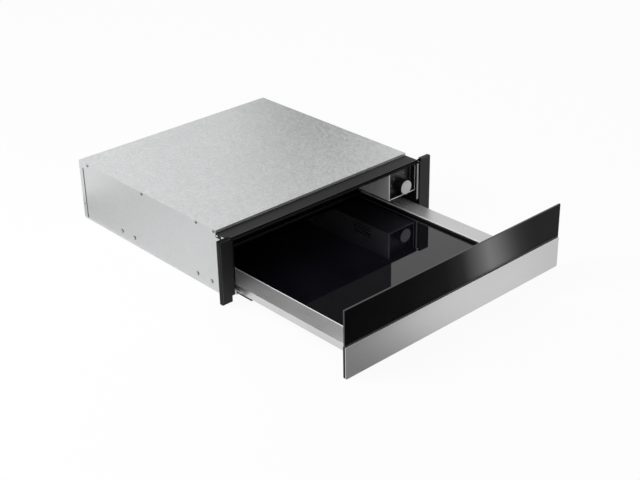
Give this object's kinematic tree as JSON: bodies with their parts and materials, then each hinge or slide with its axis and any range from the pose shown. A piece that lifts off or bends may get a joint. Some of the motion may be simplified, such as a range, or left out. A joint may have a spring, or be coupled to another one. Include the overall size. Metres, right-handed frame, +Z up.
{
  "type": "warming drawer",
  "caption": "Built-in warming drawer: galvanised housing with a black front frame, a glass-floored drawer on telescopic runners, a flat glass and steel front, and a thermostat knob inside.",
  "frame": {"origin": "centre of the housing's underside", "axes": "+X to the right of someone who faces the front, +Y to the rear, +Z up"},
  "size_m": [0.594, 0.881, 0.141],
  "materials": {
    "galvanised": "hot-dip galvanised sheet with a fine spangle",
    "black_coat": "black powder coat, satin",
    "screw_steel": "zinc plated",
    "liner_black": "black heat-proof coat, satin",
    "bright_edge": "bare rolled edge",
    "mineral_wool": "pressed mineral wool",
    "rubber_black": "matt silicone rubber",
    "box_steel": "plain galvanised sheet",
    "fascia_black": "fine-grained black plastic",
    "white_plastic": "moulded, off-white",
    "shaft_steel": "turned steel",
    "knob_silver": "satin silver disc",
    "fan_aluminium": "pressed aluminium",
    "heater": "heat-tinted fins",
    "grey_plastic": "moulded grey plastic",
    "rail_steel": "bright zinc plated",
    "ball_cage": "steel balls in pressed strips",
    "drawer_steel": "satin steel sheet",
    "black_glass": "opaque black toughened glass, polished",
    "front_glass_black": "opaque black glass, polished",
    "brushed_front": "horizontally brushed stainless steel with fingerprint-proof coat"
  },
  "bodies": {
    "housing": {"base_pan": "galvanised", "left_side_panel": "galvanised", "right_side_panel": "galvanised", "top_cover": "galvanised", "rear_panel": "galvanised", "front_frame": "black_coat", "cover_screws": "screw_steel", "rear_screws": "screw_steel", "runner_rivets": "screw_steel", "cavity_liner": "liner_black", "liner_edge_trim": "bright_edge", "insulation_mat": "mineral_wool", "control_box": "box_steel", "control_fascia": "fascia_black", "thermostat": "white_plastic", "fan_motor": "shaft_steel", "heating_element": "heater", "terminal_box": "white_plastic", "cable_gland": "fascia_black", "latch_housing": "grey_plastic", "left_outer_rail": "rail_steel", "right_outer_rail": "rail_steel"},
    "drawer": {"drawer_tray": "drawer_steel", "left_channel": "drawer_steel", "right_channel": "drawer_steel", "drawer_back": "drawer_steel", "glass_plate": "black_glass", "plate_gasket": "rubber_black", "plate_supports": "rubber_black", "front_carrier": "black_coat", "front_glass": "front_glass_black", "front_steel": "brushed_front", "corner_brackets": "drawer_steel", "front_screws": "screw_steel", "latch_striker": "screw_steel", "left_inner_rail": "rail_steel", "right_inner_rail": "rail_steel", "front_bumpers": "rubber_black"},
    "left_middle": {"left_middle_rail": "rail_steel"},
    "right_middle": {"right_middle_rail": "rail_steel"},
    "left_outer_balls": {"left_outer_cage": "ball_cage"},
    "left_inner_balls": {"left_inner_cage": "ball_cage"},
    "right_outer_balls": {"right_outer_cage": "ball_cage"},
    "right_inner_balls": {"right_inner_cage": "ball_cage"},
    "knob": {"knob_body": "fascia_black", "knob_cap": "knob_silver", "thermostat_shaft": "shaft_steel"},
    "fan": {"fan_wheel": "fan_aluminium"},
    "plunger": {"latch_plunger": "white_plastic"}
  },
  "joints": [
    {"name": "drawer_slide", "type": "slide", "parent": "housing", "child": "drawer", "axis": [0, -1, 0], "range_m": [-0.341, 0.079]},
    {"name": "left_middle_slide", "type": "slide", "parent": "housing", "child": "left_middle", "axis": [0, -1, 0], "range_m": [-0.171, 0.04]},
    {"name": "left_outer_balls_slide", "type": "slide", "parent": "housing", "child": "left_outer_balls", "axis": [0, -1, 0], "range_m": [-0.0855, 0.02]},
    {"name": "left_inner_balls_slide", "type": "slide", "parent": "housing", "child": "left_inner_balls", "axis": [0, -1, 0], "range_m": [-0.256, 0.0595]},
    {"name": "right_middle_slide", "type": "slide", "parent": "housing", "child": "right_middle", "axis": [0, -1, 0], "range_m": [-0.171, 0.04]},
    {"name": "right_outer_balls_slide", "type": "slide", "parent": "housing", "child": "right_outer_balls", "axis": [0, -1, 0], "range_m": [-0.0855, 0.02]},
    {"name": "right_inner_balls_slide", "type": "slide", "parent": "housing", "child": "right_inner_balls", "axis": [0, -1, 0], "range_m": [-0.256, 0.0595]},
    {"name": "thermostat_turn", "type": "hinge", "parent": "housing", "child": "knob", "pos_m": [0.2205, -0.25, 0.0864], "axis": [0, 1, 0], "range_deg": [0, 270]},
    {"name": "fan_spin", "type": "hinge", "parent": "housing", "child": "fan", "pos_m": [0.214, -0.047, 0.0992], "axis": [0, 1, 0], "continuous": true},
    {"name": "latch_push", "type": "slide", "parent": "housing", "child": "plunger", "axis": [0, 1, 0], "range_m": [0, 0.004], "stiffness_N_per_m": 300, "springref_m": -0.01}
  ],
  "couplings": [
    {"joint": "left_middle_slide", "follows": "drawer_slide", "ratio": 0.5},
    {"joint": "left_outer_balls_slide", "follows": "drawer_slide", "ratio": 0.25},
    {"joint": "left_inner_balls_slide", "follows": "drawer_slide", "ratio": 0.75},
    {"joint": "right_middle_slide", "follows": "drawer_slide", "ratio": 0.5},
    {"joint": "right_outer_balls_slide", "follows": "drawer_slide", "ratio": 0.25},
    {"joint": "right_inner_balls_slide", "follows": "drawer_slide", "ratio": 0.75}
  ]
}
